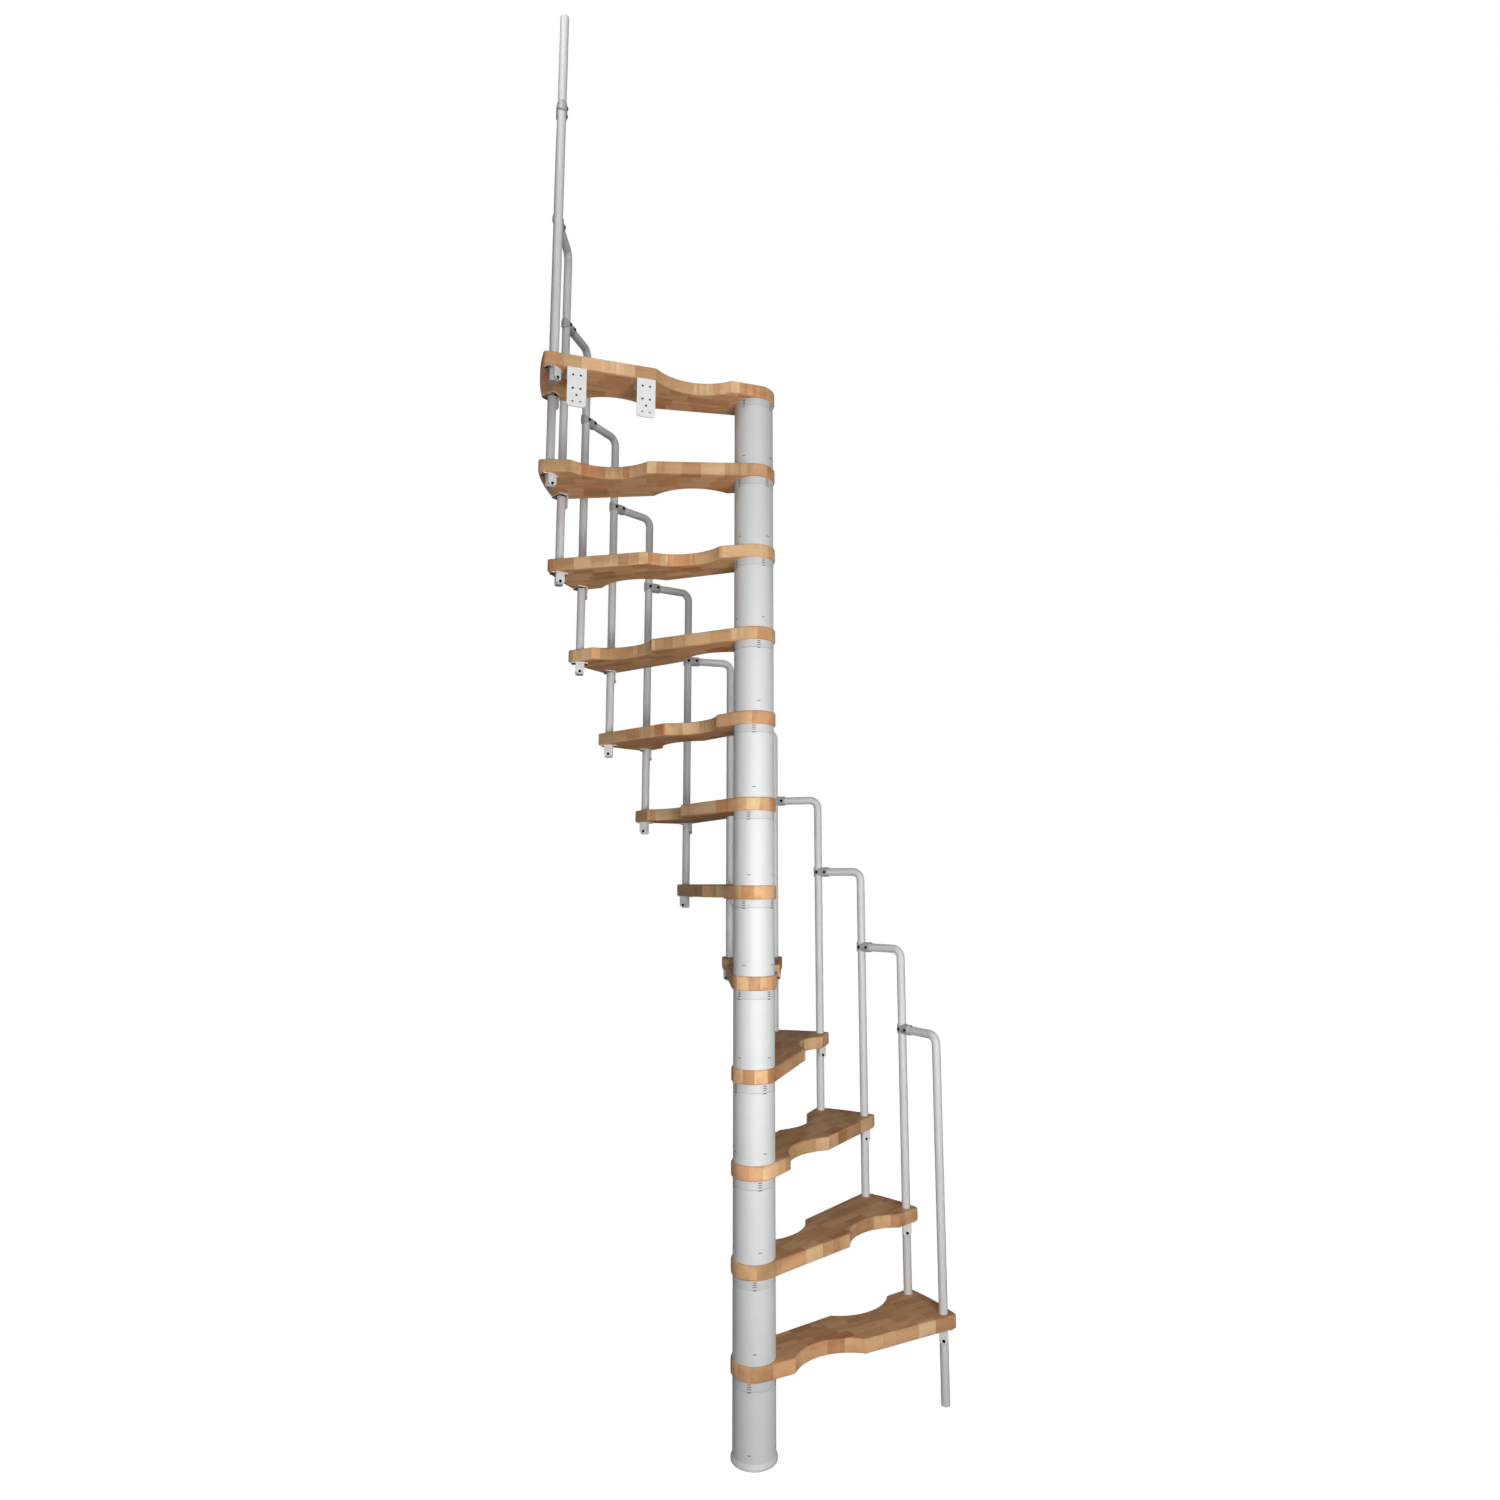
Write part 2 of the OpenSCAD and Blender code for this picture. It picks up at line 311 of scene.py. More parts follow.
def beech():
    """Full-depth staves side by side, each glued up from short blocks with finger joints."""
    n = Nodes("beech")
    place = n.new("Attribute", {"attribute_name": TIMBER_PLACE}).outputs["Vector"]
    x, y, z = n.new("SeparateXYZ", Vector=place).outputs
    seed = n.math("FLOOR", z)
    normal = n.new("NewGeometry").outputs["Normal"]
    facing = n.new("SeparateXYZ", Vector=normal).outputs["Z"]
    flat = n.math("ABSOLUTE", facing)

    stave_y = n.math("ADD", n.math("DIVIDE", y, STAVE_WIDTH), 40.5)
    stave = n.math("FLOOR", stave_y)
    across = n.math("FRACT", stave_y)

    finger = n.math("PINGPONG", y, FINGER_PITCH / 2)
    finger = n.math("MULTIPLY", finger, 2 * FINGER_DEPTH / FINGER_PITCH)
    jointed = n.math("ADD", x, finger)
    lane = n.math("ADD", n.math("MULTIPLY", stave, 37.31), n.math("MULTIPLY", seed, 11.7))
    position = n.math("ADD", n.math("DIVIDE", jointed, BLOCK_LENGTH), lane)

    cells = {"voronoi_dimensions": "1D"}
    cell = n.new("TexVoronoi", cells, W=position, Scale=1.0, Randomness=0.9)
    to_edge = {**cells, "feature": "DISTANCE_TO_EDGE"}
    edge = n.new("TexVoronoi", to_edge, W=position, Scale=1.0, Randomness=0.9)
    tone, shift, tint = n.new("SeparateColor", Color=cell.outputs["Color"]).outputs
    blocks = colour_ramp(n, tone, BEECH_TONES)
    # the edges of a tread show the blocks' end faces, which differ more than their long faces
    contrast = spread(n, flat, RIM_CONTRAST, FLAT_CONTRAST)
    base = mixed(n, contrast, BEECH_MEAN, blocks)
    base = mixed(n, tint, scaled(n, base, YELLOW_BLOCK), scaled(n, base, RED_BLOCK))
    # painted light and shade: the rims lighter and greyer, the tops darker and the undersides lighter, by the
    # way each face points
    base = mixed(n, flat, scaled(n, base, RIM_PAINTED_LIGHT), base)
    base = mixed(n, facing, base, scaled(n, base, TOP_PAINTED_SHADE))
    base = mixed(n, n.math("MULTIPLY", facing, -1.0), base, scaled(n, base, UNDER_PAINTED_LIGHT))

    # every block has its own piece of the grain
    offset = n.new("CombineXYZ", X=n.math("MULTIPLY", shift, 9.0), Y=n.math("MULTIPLY", tone, 5.0), Z=lane)
    moved = n.new("VectorMath", {"operation": "ADD"}, _0=place, _1=offset.outputs["Vector"]).outputs["Vector"]
    streaks = noise(n, scaled(n, moved, (3.0, 90.0, 60.0)), 1.0, 3.0, 0.6)
    heart = noise(n, scaled(n, moved, (5.0, 42.0, 30.0)), 1.0, 2.0, 0.55)
    flame = n.new("MapRange", Value=heart, **{"From Min": 0.50, "From Max": 0.66}).outputs["Result"]
    base = mixed(n, n.math("MULTIPLY", flame, spread(n, flat, 0.45, 0.7)), base, scaled(n, base, FLAME_TONE))
    fibres = noise(n, scaled(n, moved, (30.0, 900.0, 700.0)), 1.0, 2.0, 0.6)
    flecks = noise(n, scaled(n, moved, (160.0, 900.0, 900.0)), 1.0, 1.0, 0.5)
    fleck = n.new("MapRange", Value=flecks, **{"From Min": 0.62, "From Max": 0.72}).outputs["Result"]
    strip = n.new("TexVoronoi", cells, W=n.math("DIVIDE", jointed, STRIP_LENGTH), Scale=1.0, Randomness=1.0)
    strip = n.new("SeparateColor", Color=strip.outputs["Color"]).outputs[0]
    striped = n.new("MapRange", Value=shift, **{"From Min": 0.60, "From Max": 0.70}).outputs["Result"]
    strip = n.math("MULTIPLY", n.math("SUBTRACT", strip, 0.6), spread(n, flat, STRIP_CONTRAST, 0.0))
    strip = n.math("MULTIPLY", strip, striped)
    dark_block = n.new("MapRange", Value=shift, **{"From Min": 0.90, "From Max": 0.91}).outputs["Result"]
    base = mixed(n, dark_block, base, scaled(n, base, DARK_BLOCK))

    grain = n.math("MULTIPLY", spread(n, streaks, 0.88, 1.12), spread(n, fibres, 0.95, 1.05))
    grain = n.math("MULTIPLY", grain, spread(n, fleck, 1.0, 0.82))
    grain = n.math("MULTIPLY", grain, n.math("ADD", strip, 1.0))

    # glue lines, a fifth of a millimetre wide
    side_line = n.math("MULTIPLY", n.math("MINIMUM", across, n.math("SUBTRACT", 1.0, across)), STAVE_WIDTH)
    end_line = n.math("MULTIPLY", edge.outputs["Distance"], BLOCK_LENGTH)
    line = n.new("MapRange", Value=n.math("MINIMUM", side_line, end_line), **{"From Max": 0.0004})
    glue = spread(n, line.outputs["Result"], 0.82, 1.0)

    colour = tinted(n, base, n.math("MULTIPLY", grain, glue))
    height = n.math("MULTIPLY", n.math("ADD", fibres, n.math("MULTIPLY", fleck, -0.6)), glue)
    bump = n.new("Bump", Strength=0.25, Distance=0.0002, Height=height)
    rough = n.math("ADD", spread(n, streaks, 0.50, 0.62), n.math("MULTIPLY", fleck, 0.1))
    return n.finish(Base_Color=colour, Roughness=rough, Normal=bump.outputs["Normal"], Specular_IOR_Level=0.3)


def powder_coat(name, tone, metallic, roughness, peel=0.10, under=None):
    """Fine metal flake under a slightly pebbled skin; under is a painted shade: the dark tone put on the
    faces that point down.
    """
    n = Nodes(name)
    place = n.new("TexCoord").outputs["Object"]
    flake = n.new("TexVoronoi", Vector=place, Scale=2200.0).outputs["Color"]
    flake = n.new("SeparateColor", Color=flake).outputs[0]
    cloud = noise(n, place, 7.0, 3.0)
    skin = noise(n, place, 900.0, 2.0)
    light = n.math("MULTIPLY", spread(n, flake, 0.94, 1.06), spread(n, cloud, 0.96, 1.04))
    bump = n.new("Bump", Strength=peel, Distance=0.0001, Height=skin)
    rough = n.math("ADD", spread(n, cloud, roughness - 0.02, roughness + 0.02), spread(n, flake, -0.03, 0.03))
    paint = n.new("CombineXYZ", X=tone[0], Y=tone[1], Z=tone[2]).outputs["Vector"]
    # painted shade: the faces that point down take the dark under tone
    if under:
        facing = n.new("SeparateXYZ", Vector=n.new("NewGeometry").outputs["Normal"]).outputs["Z"]
        paint = mixed(n, n.math("MULTIPLY", facing, -1.0), paint, under)
    return n.finish(
        Base_Color=tinted(n, paint, light),
        Metallic=metallic,
        Roughness=rough,
        Normal=bump.outputs["Normal"],
    )


def dull_metal(name, tone, metallic, roughness):
    """Screws and marks: dark, with a fine wear."""
    n = Nodes(name)
    place = n.new("TexCoord").outputs["Object"]
    wear = noise(n, place, 600.0, 3.0)
    paint = n.new("CombineXYZ", X=tone[0], Y=tone[1], Z=tone[2]).outputs["Vector"]
    bump = n.new("Bump", Strength=0.15, Distance=0.0001, Height=wear)
    return n.finish(
        Base_Color=tinted(n, paint, spread(n, wear, 0.8, 1.2)),
        Metallic=metallic,
        Roughness=spread(n, wear, roughness - 0.08, roughness + 0.08),
        Specular_IOR_Level=0.1,
        Normal=bump.outputs["Normal"],
    )


BEECH = beech()
SILVER = powder_coat("silver_powder_coat", (0.660, 0.667, 0.668), 0.12, 0.62)
# the brackets get painted shade, a dark brown, on the faces that point down
BRACKET = powder_coat("bracket_coat_and_painted_shade", (0.72, 0.725, 0.725), 0.12, 0.58, under=(0.25, 0.165, 0.11))
LANDING = powder_coat("landing_plate_coat", (0.84, 0.845, 0.845), 0.08, 0.58)
CLAMP = powder_coat("clamp_coat", (0.44, 0.443, 0.435), 0.15, 0.55, 0.18)
SLEEVE = powder_coat("sleeve_grey", (0.60, 0.605, 0.608), 0.10, 0.60, 0.05)
SCREW = dull_metal("black_screw", (0.008, 0.008, 0.009), 0.0, 0.80)
MARK = dull_metal("height_mark", (0.045, 0.046, 0.048), 0.0, 0.70)
PLUG = dull_metal("grey_plug", (0.30, 0.30, 0.30), 0.0, 0.60)


# ---------------------------------------------------------------- mesh helpers

def piece(name, mesh_builder, material):
    """A new object made by a bmesh builder; it rides on the one body of the stair."""
    mesh = bpy.data.meshes.new(name)
    bm = bmesh.new()
    mesh_builder(bm)
    bmesh.ops.recalc_face_normals(bm, faces=bm.faces)
    bm.to_mesh(mesh)
    bm.free()
    for m in material if isinstance(material, list) else [material]:
        mesh.materials.append(m)
    obj = bpy.data.objects.new(name, mesh)
    bpy.context.scene.collection.objects.link(obj)
    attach(obj, "root")
    return obj


def smooth(obj, angle_degrees=32):
    mesh = obj.data
    mesh.polygons.foreach_set("use_smooth", [True] * len(mesh.polygons))
    mesh.set_sharp_from_angle(angle=math.radians(angle_degrees))


def lathe(bm, profile, parts, matrix=Matrix.Identity(4)):
    """Turns a profile of (radius, height) points about local Z."""
    rings = []
    for radius, height in profile:
        if radius < 1e-7:
            rings.append([bm.verts.new(matrix @ Vector((0, 0, height)))])
            continue
        points = [on_ring(radius, 2 * math.pi * k / parts, height) for k in range(parts)]
        rings.append([bm.verts.new(matrix @ point) for point in points])
    for lower, upper in zip(rings, rings[1:]):
        for k in range(parts):
            after = (k + 1) % parts
            corners = [lower[k % len(lower)], lower[after % len(lower)]]
            corners += [upper[after % len(upper)], upper[k % len(upper)]]
            corners = list(dict.fromkeys(corners))
            if len(corners) > 2:
                bm.faces.new(corners)


# ---------------------------------------------------------------- treads

def rim_loops(node, heading):
    """The closed loops round the top face of a CAD tread, in the tread's own axes, longest first."""
    bm = bmesh.new()
    bm.from_mesh(frame["nodes"][node].data)
    bm.transform(Matrix.Rotation(-heading, 4, "Z"))
    bmesh.ops.remove_doubles(bm, verts=bm.verts, dist=1e-6)
    bm.normal_update()
    follow = {}
    for edge in bm.edges:
        if len(edge.link_faces) != 2:
            continue
        tops = [f for f in edge.link_faces if f.normal.z > 0.99]
        sides = [f for f in edge.link_faces if abs(f.normal.z) < 0.5]
        if len(tops) == 1 and len(sides) == 1:
            loop = next(lp for lp in tops[0].loops if lp.edge == edge)
            follow[loop.vert] = loop.link_loop_next.vert
    loops = []
    while follow:
        start = next(iter(follow))
        loop = [start]
        step = follow.pop(start)
        while step != start:
            loop.append(step)
            step = follow.pop(step)
        loops.append([v.co.xy.copy() for v in loop])
    bm.free()
    return sorted(loops, key=len_round, reverse=True)


def len_round(loop):
    return sum((b - a).length for a, b in zip(loop, loop[1:] + loop[:1]))


def set_in(loop, distance):
    """The loop moved inwards, to its left, with mitred corners."""
    moved = []
    for before, at, after in zip(loop[-1:] + loop[:-1], loop, loop[1:] + loop[:1]):
        one = (at - before).normalized()
        two = (after - at).normalized()
        left = Vector((-one.y, one.x)) + Vector((-two.y, two.x))
        moved.append(at + left * distance / (1 + one.dot(two)))
    return moved


def tread_mesh(bm, loops, under, top):
    """Rounded long edges on the outer rim, straight bores for the posts."""
    rim = loops[0]
    levels = []
    for k in range(EDGE_ROUND_PARTS + 1):
        turn = math.pi / 2 * k / EDGE_ROUND_PARTS
        levels.append((EDGE_ROUND * (1 - math.sin(turn)), EDGE_ROUND * (1 - math.cos(turn))))
    profile = [(inset, under + lift) for inset, lift in levels]
    profile += [(inset, top - lift) for inset, lift in reversed(levels)]
    rings = [[bm.verts.new((p.x, p.y, z)) for p in set_in(rim, inset)] for inset, z in profile]
    for lower, upper in zip(rings, rings[1:]):
        for k in range(len(rim)):
            after = (k + 1) % len(rim)
            bm.faces.new((lower[k], lower[after], upper[after], upper[k]))
    bores = []
    for loop in loops[1:]:
        low = [bm.verts.new((p.x, p.y, under)) for p in loop]
        high = [bm.verts.new((p.x, p.y, top)) for p in loop]
        for k in range(len(loop)):
            after = (k + 1) % len(loop)
            bm.faces.new((low[k], low[after], high[after], high[k]))
        bores.append((low, high))
    for ring, index in ((rings[0], 0), (rings[-1], 1)):
        outlines = [ring] + [bore[index] for bore in bores]
        verts = [v for outline in outlines for v in outline]
        for a, b, c in tessellate_polygon([[v.co for v in outline] for outline in outlines]):
            if len({a, b, c}) == 3:
                bm.faces.new((verts[a], verts[b], verts[c]))


def mark_flat_rims(mesh):
    """Sharp where the flat faces meet the rounding, so that the flats shade flat."""
    flat = [abs(p.normal.z) > 0.9999 for p in mesh.polygons]
    faces_of = {}
    for p in mesh.polygons:
        for key in p.edge_keys:
            faces_of.setdefault(key, []).append(flat[p.index])
    for edge in mesh.edges:
        kinds = faces_of.get(edge.key, [])
        if len(kinds) == 2 and kinds[0] != kinds[1]:
            edge.use_edge_sharp = True


def keep_timber_place(mesh, n):
    """Stores where each point lies in the tread's own axes, for the staves and the grain."""
    places = mesh.attributes.new(TIMBER_PLACE, "FLOAT_VECTOR", "POINT")
    lift = n - tread_under(n)
    for vert, place in zip(mesh.vertices, places.data):
        place.vector = (vert.co.x, vert.co.y, vert.co.z + lift)


def tread(n):
    node = f"tread_{number(n)}"
    heading = tread_heading(n)
    loops = rim_loops(node, heading)
    obj = piece(
        f"{node}_timber",
        lambda bm: tread_mesh(bm, loops, tread_under(n), tread_top(n)),
        BEECH,
    )
    keep_timber_place(obj.data, n)
    obj.data.transform(turned(heading))
    smooth(obj, 40)
    mark_flat_rims(obj.data)
    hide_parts(node)


# ---------------------------------------------------------------- column

def band(bm, outer, inner, low, high, windows):
    """A ring with shallow rectangular marks sunk in its face; windows are (angle, width, low, high).

    The ring has the piece's first material and the marks have its second.
    """
    face_material, mark_material = 0, 1
    angles = {2 * math.pi * k / TUBE_PARTS for k in range(TUBE_PARTS)}
    for angle, width, _, _ in windows:
        half = width / outer / 2
        angles |= {(angle - half) % (2 * math.pi), (angle + half) % (2 * math.pi)}
    angles = sorted(angles)
    heights = sorted({low, high} | {z for w in windows for z in w[2:]})

    def sunk(a, b, z0, z1):
        middle = (a + (b - a) % (2 * math.pi) / 2) % (2 * math.pi)
        for angle, width, w_low, w_high in windows:
            turn = (middle - angle + math.pi) % (2 * math.pi) - math.pi
            if abs(turn) < width / outer / 2 and w_low < (z0 + z1) / 2 < w_high:
                return True
        return False

    face, pit = {}, {}

    def vert(store, i, j, radius):
        if (i, j) not in store:
            a = angles[i]
            store[i, j] = bm.verts.new((radius * math.cos(a), radius * math.sin(a), heights[j]))
        return store[i, j]

    count = len(angles)
    is_sunk = {
        (i, j): sunk(angles[i], angles[(i + 1) % count], heights[j], heights[j + 1])
        for i in range(count)
        for j in range(len(heights) - 1)
    }
    for (i, j), down in is_sunk.items():
        after = (i + 1) % count
        store, radius = (pit, outer - MARK_DEPTH) if down else (face, outer)
        corners = [vert(store, *at, radius) for at in ((i, j), (after, j), (after, j + 1), (i, j + 1))]
        bm.faces.new(corners).material_index = mark_material if down else face_material
        if not down:
            continue
        neighbours = [
            (((i - 1) % count, j), (i, j), (i, j + 1)),
            ((after, j), (after, j), (after, j + 1)),
            ((i, j - 1), (i, j), (after, j)),
            ((i, j + 1), (i, j + 1), (after, j + 1)),
        ]
        for beside, one, two in neighbours:
            if is_sunk.get(beside):
                continue
            wall = [vert(face, *one, outer), vert(face, *two, outer)]
            wall += [vert(pit, *two, outer - MARK_DEPTH), vert(pit, *one, outer - MARK_DEPTH)]
            bm.faces.new(wall).material_index = mark_material
    for j in (0, len(heights) - 1):
        ring = [vert(face, i, j, outer) for i in range(count)]
        hidden = [bm.verts.new((inner * math.cos(a), inner * math.sin(a), heights[j])) for a in angles]
        for i in range(count):
            after = (i + 1) % count
            rim = bm.faces.new((ring[i], ring[after], hidden[after], hidden[i]))
            rim.material_index = face_material


def column_tube(n):
    node = f"column_tube_{number(n)}"
    low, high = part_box(node)
    joint = high.z - SLEEVE_HEIGHT
    start = tread_heading(n) + MARK_ANGLE
    angles = [(start + k * math.pi / 2) % (2 * math.pi) for k in range(4)]
    foot_mark = tread_foot(n) + FOOT_MARK_HEIGHT
    tube_marks = [(a, MARK_WIDTH, foot_mark, foot_mark + MARK_HEIGHT) for a in angles]
    ladder = [high.z - MARK_PITCH * (k + 1) for k in range(MARK_COUNT - 1)]
    sleeve_marks = [(a, MARK_WIDTH, z, z + MARK_HEIGHT) for a in angles for z in ladder]
    top_marks = [(a, MARK_WIDTH, joint - SLEEVE_GAP - MARK_HEIGHT, joint - SLEEVE_GAP) for a in angles]
    inner = COLUMN_RADIUS - TUBE_WALL
    core_radius = inner + CORE_OVERLAP
    tube = piece(
        f"{node}_shell",
        lambda bm: band(bm, COLUMN_RADIUS, inner, low.z, joint - SLEEVE_GAP, tube_marks + top_marks),
        [SILVER, MARK],
    )
    smooth(tube)
    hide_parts(node)
    sleeve = piece(
        f"{node}_sleeve",
        lambda bm: band(bm, COLUMN_RADIUS, inner, joint, high.z, sleeve_marks),
        [SLEEVE, MARK],
    )
    smooth(sleeve)
    core = piece(
        f"{node}_core",
        lambda bm: lathe(bm, [(core_radius, joint + up) for up in (-CORE_REACH, CORE_REACH)], TUBE_PARTS),
        MARK,
    )
    smooth(core)


def tread_foot(n):
    """Where tube n starts: on the tread below, or on the foot collar's floor."""
    return tread_top(n - 1) if n > 1 else FOOT_FLOOR


# ---------------------------------------------------------------- screws, plugs and painted shade in the bolt holes

def socket_screw(bm, matrix, radius, height):
    """A round head with a hexagonal socket; it stands along local +Z."""
    edge = radius * 0.18

    def hexagon(angle):
        return radius * 0.5 / math.cos((angle + math.pi / 6) % (math.pi / 3) - math.pi / 6)

    outlines = [
        (lambda angle: radius, 0),
        (lambda angle: radius, height - edge),
        (lambda angle: radius - edge, height),
        (hexagon, height),
        (hexagon, height * 0.4),
    ]
    angles = [2 * math.pi * k / SCREW_PARTS for k in range(SCREW_PARTS)]
    rings = []
    for reach, z in outlines:
        points = [Vector((reach(a) * math.cos(a), reach(a) * math.sin(a), z)) for a in angles]
        rings.append([bm.verts.new(matrix @ p) for p in points])
    for lower, upper in zip(rings, rings[1:]):
        for k in range(SCREW_PARTS):
            after = (k + 1) % SCREW_PARTS
            bm.faces.new((lower[k], lower[after], upper[after], upper[k]))
    bm.faces.new(rings[-1])
    bm.faces.new(rings[0][::-1])


def pointing(origin, direction):
    """A matrix that stands local +Z along a direction, at a point."""
    turn = Vector((0, 0, 1)).rotation_difference(Vector(direction).normalized())
    return Matrix.Translation(Vector(origin)) @ turn.to_matrix().to_4x4()


def clamp_screws():
    """Two on each clamp, on the side towards the column: one in the post, one in the arm."""
    def build(bm):
        for n in range(1, STEP_COUNT + 1):
            post = on_ring(POST_RING, post_heading(n + 1), tread_top(n) + ARM_HEIGHT)
            back = arm_heading(n) + math.pi
            out = Vector((math.cos(back), math.sin(back), 0))
            side = Vector((-math.sin(back), math.cos(back), 0))
            if side.dot(post) > 0:
                side = -side
            for reach in (0.0, CLAMP_SCREW_REACH):
                at = post + out * reach + side * (CLAMP_RADIUS - CLAMP_SCREW_SUNK)
                socket_screw(bm, pointing(at, side), CLAMP_SCREW_RADIUS, CLAMP_SCREW_HEIGHT)
    smooth(piece("clamp_screws", build, SCREW))


def bracket_screws():
    """One through each tab into the post, two up through each bracket plate into the timber."""
    def build(bm):
        for n in range(1, STEP_COUNT + 1):
            for side in (-1, 1):
                post = on_ring(POST_RING, tread_heading(n) + side * TREAD_TURN / 2, tread_under(n))
                out = on_ring(1, tread_heading(n) + side * BRACKET_TURN, 0)
                along = Vector((-out.y, out.x, 0))
                at = post + out * (POST_RADIUS + BRACKET_THICKNESS) + Vector((0, 0, -TAB_SCREW_DROP))
                socket_screw(bm, pointing(at, out), TAB_SCREW_RADIUS, TAB_SCREW_HEIGHT)
                for reach in (-EAR_SCREW_REACH, EAR_SCREW_REACH):
                    at = post + along * reach - out * EAR_SCREW_BACK + Vector((0, 0, -BRACKET_THICKNESS))
                    socket_screw(bm, pointing(at, (0, 0, -1)), EAR_SCREW_RADIUS, EAR_SCREW_HEIGHT)
    smooth(piece("bracket_screws", build, SCREW))


def leg_screws():
    """Two up through the leg of each landing bracket."""
    def build(bm):
        for node in ("landing_bracket_inner", "landing_bracket_outer"):
            low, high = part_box(node)
            for share in LEG_SCREW_PLACES:
                under = tread_under(STEP_COUNT) - LANDING_THICKNESS
                at = ((low.x + high.x) / 2, low.y + LEG_LENGTH * share, under)
                socket_screw(bm, pointing(at, (0, 0, -1)), LEG_SCREW_RADIUS, LEG_SCREW_HEIGHT)
    smooth(piece("landing_leg_screws", build, SCREW))


def hole_shade_rings():
    """Painted shade: dark sleeves in the seven bolt holes of each landing plate, in rows of two, two, one and
    two.
    """
    def sleeve(wall):
        bore = BOLT_HOLE_RADIUS - wall
        ends = [(BOLT_HOLE_RADIUS, 0), (bore, 0)]
        return ends + [(radius, LANDING_THICKNESS) for radius, _ in reversed(ends)]

    def build(bm):
        for name in ("inner", "outer"):
            low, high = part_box(f"landing_bracket_{name}")
            pattern = f"landing_bolts_{name}"
            middle = next(m["pos_m"] for m in frame["record"]["mounts"] if m["name"] == pattern)
            half = BOLT_SPACING / 2
            rows = [(-half, 1), (half, 1), (-half, 0), (half, 0), (0, -0.5), (-half, -1), (half, -1)]
            for across, row in rows:
                at = (middle[0] + across, low.y, middle[2] + row * BOLT_ROW_PITCH)
                profile = sleeve(LAST_ROW_HOLE_SHADE_WALL if row == -1 else HOLE_SHADE_WALL)
                lathe(bm, profile, SCREW_PARTS, pointing(at, (0, 1, 0)))
    smooth(piece("bolt_hole_painted_shade", build, SCREW))


def post_plugs():
    """Shallow domes that close the cut ends of the posts."""
    def build(bm):
        shares = [(1, 0), (0.92, 0.55), (0.6, 0.9), (0, 1)]
        dome = [(PLUG_RADIUS * out, PLUG_DOME * up) for out, up in shares]
        for n in range(2, STEP_COUNT + 2):
            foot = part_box(f"post_{number(n)}")[0].z
            at = on_ring(POST_RING, post_heading(n), foot)
            lathe(bm, dome, PLUG_PARTS, pointing(at, (0, 0, -1)))
        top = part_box("post_13")[1].z
        at = on_ring(POST_RING, post_heading(STEP_COUNT + 1), top)
        lathe(bm, dome, PLUG_PARTS, pointing(at, (0, 0, 1)))
    smooth(piece("post_plugs", build, PLUG))


# ---------------------------------------------------------------- finishes of the CAD nodes that stay

def finish_node(node, material):
    obj = frame["nodes"][node]
    if not obj.material_slots:
        raise RuntimeError(f"{node} has no material slot")
    for slot in obj.material_slots:
        slot.material = material


def finish_nodes():
    finish_node("foot_collar", SILVER)
    for n in range(1, STEP_COUNT + 2):
        finish_node(f"post_{number(n)}", SILVER)
    # this coat carries painted shade on the faces that point down
    finish_node("tread_brackets", BRACKET)
    finish_node("rail_clamps", CLAMP)
    finish_node("landing_bracket_inner", LANDING)
    finish_node("landing_bracket_outer", LANDING)


# ---------------------------------------------------------------- stage

def camera():
    data = bpy.data.cameras.new("camera")
    data.lens = CAMERA_LENS_MM
    data.sensor_width = CAMERA_SENSOR_MM
    data.clip_start = 0.05
    data.clip_end = 200
    obj = bpy.data.objects.new("camera", data)
    obj.location = (
        -CAMERA_DISTANCE * math.sin(CAMERA_BEARING),
        -CAMERA_DISTANCE * math.cos(CAMERA_BEARING),
        CAMERA_HEIGHT,
    )
    obj.rotation_euler = (math.pi / 2 + CAMERA_PITCH, 0, CAMERA_HEADING)
    bpy.context.scene.collection.objects.link(obj)
    bpy.context.scene.camera = obj


def area_light(name, location, target, size, power):
    """A round light that isn't seen itself."""
    data = bpy.data.lights.new(name, "AREA")
    data.shape = "DISK"
    data.size = size
    data.energy = power
    obj = bpy.data.objects.new(name, data)
    obj.matrix_world = pointing(location, Vector(location) - Vector(target))
    obj.visible_camera = False
    bpy.context.scene.collection.objects.link(obj)


def lights():
    """Round soft lights about the column, most of them from the side that the camera sees."""
    eye = bpy.context.scene.camera.location
    ahead = math.atan2(eye.y, eye.x)
    for name, (turn, distance, height, aim, size, power) in LIGHTS.items():
        place = on_ring(distance, ahead + math.radians(turn), height)
        area_light(name, place, (0, 0, aim), size, power)


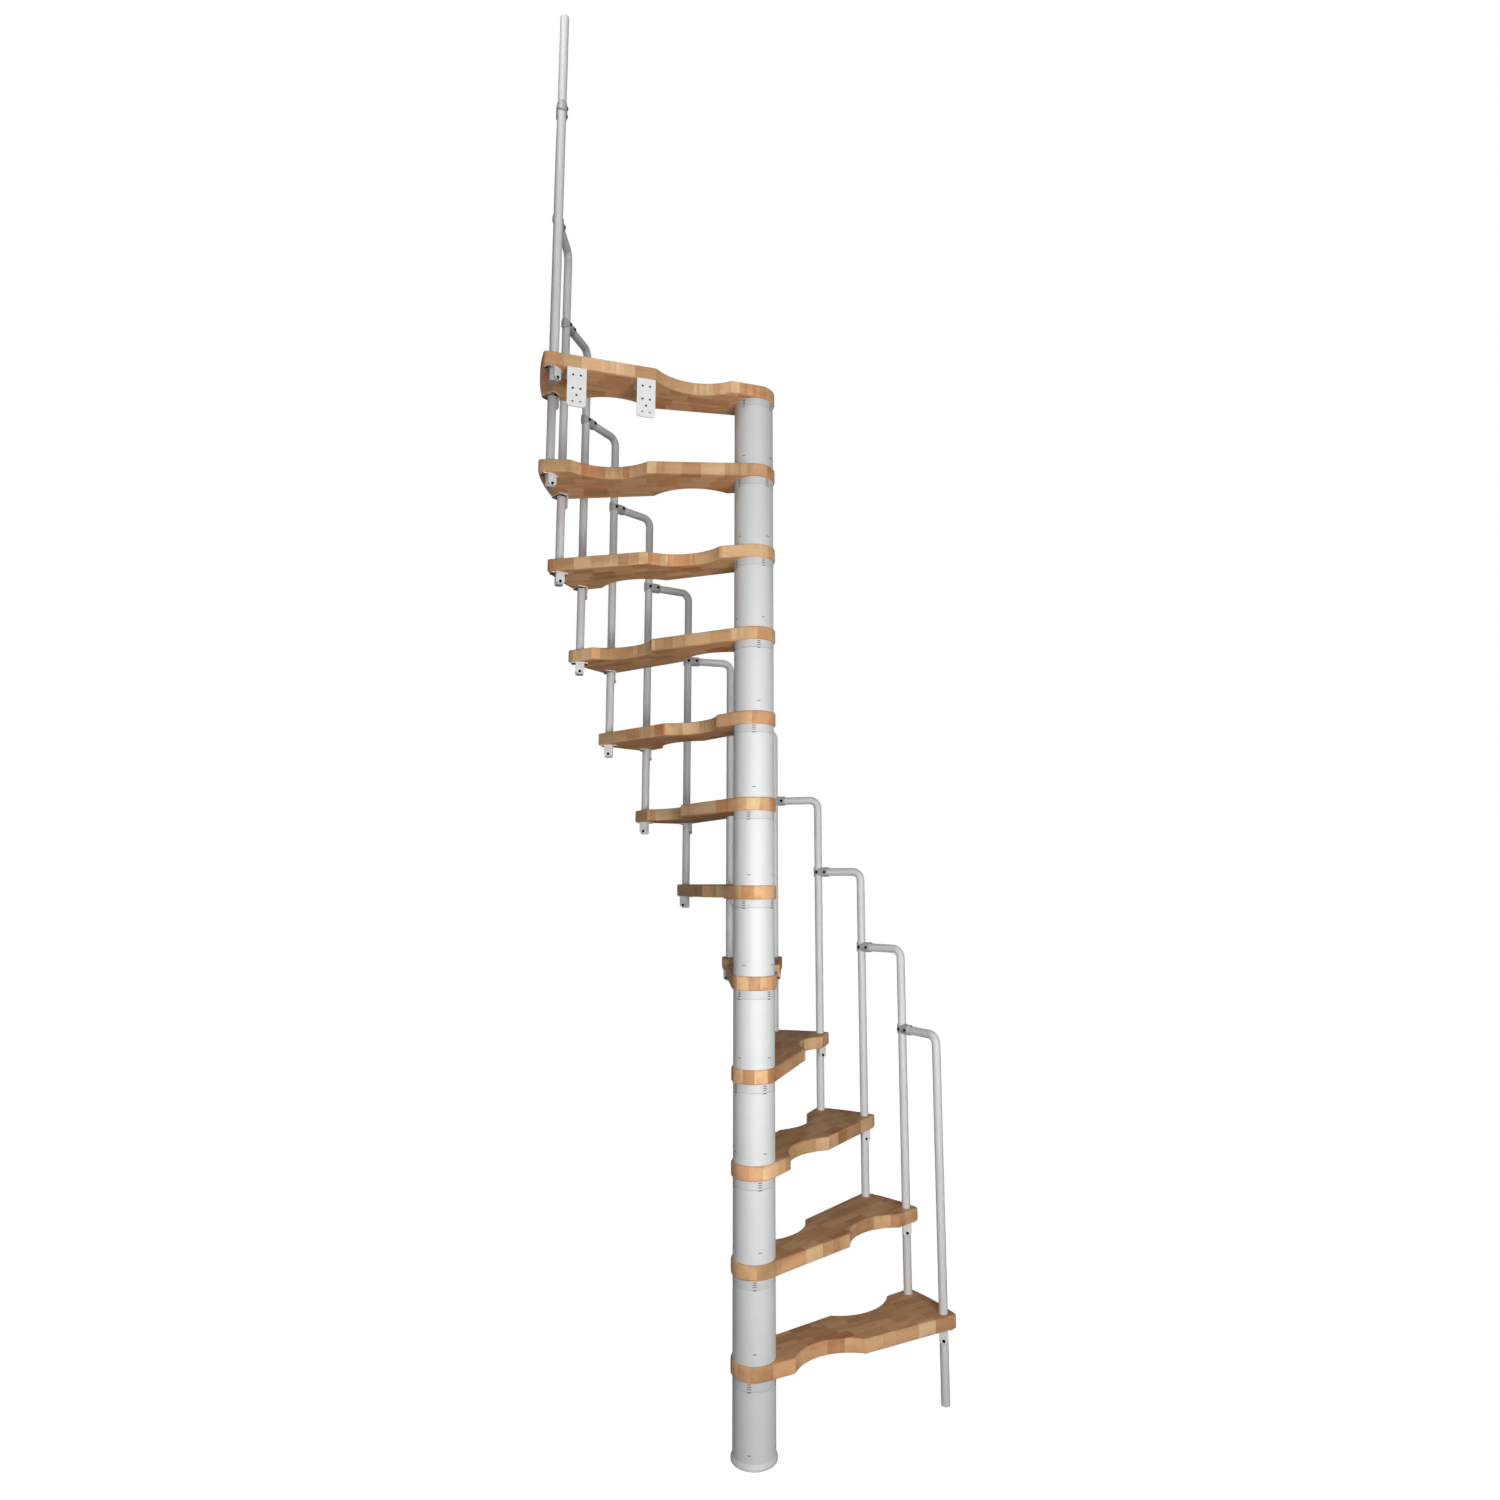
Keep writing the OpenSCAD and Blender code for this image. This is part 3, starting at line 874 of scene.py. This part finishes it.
def world():
    """Faint light from all round and below, in front of a white wall."""
    data = bpy.data.worlds.new("studio")
    data.use_nodes = True
    tree = data.node_tree
    tree.nodes.clear()
    output = tree.nodes.new("ShaderNodeOutputWorld")
    mix = tree.nodes.new("ShaderNodeMixShader")
    seen = tree.nodes.new("ShaderNodeBackground")
    soft = tree.nodes.new("ShaderNodeBackground")
    path = tree.nodes.new("ShaderNodeLightPath")
    way = tree.nodes.new("ShaderNodeTexCoord")
    height = tree.nodes.new("ShaderNodeSeparateXYZ")
    strength = tree.nodes.new("ShaderNodeMapRange")
    seen.inputs["Color"].default_value = (1, 1, 1, 1)
    soft.inputs["Color"].default_value = (0.98, 0.99, 1, 1)
    strength.inputs["From Max"].default_value = 0.5
    strength.inputs["To Min"].default_value = LOW_GLOW
    strength.inputs["To Max"].default_value = HIGH_GLOW
    tree.links.new(way.outputs["Generated"], height.inputs["Vector"])
    tree.links.new(height.outputs["Z"], strength.inputs["Value"])
    tree.links.new(strength.outputs["Result"], soft.inputs["Strength"])
    tree.links.new(path.outputs["Is Camera Ray"], mix.inputs["Fac"])
    tree.links.new(soft.outputs[0], mix.inputs[1])
    tree.links.new(seen.outputs[0], mix.inputs[2])
    tree.links.new(mix.outputs[0], output.inputs["Surface"])
    bpy.context.scene.world = data


def floor_paint():
    """Grey to the light that it throws back, nearly white to the eye, so that it runs into the wall."""
    n = Nodes("floor_paint")
    n.finish(Base_Color=(FLOOR_ALBEDO, FLOOR_ALBEDO, FLOOR_ALBEDO, 1), Roughness=0.95, Specular_IOR_Level=0.0)
    place = n.new("NewGeometry").outputs["Position"]
    away = n.new("VectorMath", {"operation": "LENGTH"}, _0=place).outputs["Value"]
    glow = n.new("MapRange", Value=away, **{"From Min": 1.0, "From Max": 3.0, "To Min": 0.94, "To Max": 1.0})
    shine = n.new("Emission", Strength=glow.outputs["Result"])
    both = n.new("AddShader", _0=n.shader.outputs["BSDF"], _1=shine.outputs["Emission"])
    eye = n.new("LightPath").outputs["Is Camera Ray"]
    mix = n.new("MixShader", _0=eye, _1=n.shader.outputs["BSDF"], _2=both.outputs["Shader"])
    n.tree.links.new(mix.outputs["Shader"], n.output.inputs["Surface"])
    return n.material


def floor():
    mesh = bpy.data.meshes.new("floor")
    bm = bmesh.new()
    bmesh.ops.create_grid(bm, x_segments=1, y_segments=1, size=30)
    bm.to_mesh(mesh)
    bm.free()
    mesh.materials.append(floor_paint())
    obj = bpy.data.objects.new("floor", mesh)
    bpy.context.scene.collection.objects.link(obj)


bpy.context.scene.view_settings.view_transform = "Standard"
camera()
world()
lights()
floor()
for step in range(1, STEP_COUNT + 1):
    tread(step)
    column_tube(step)
clamp_screws()
bracket_screws()
leg_screws()
hole_shade_rings()
post_plugs()
finish_nodes()
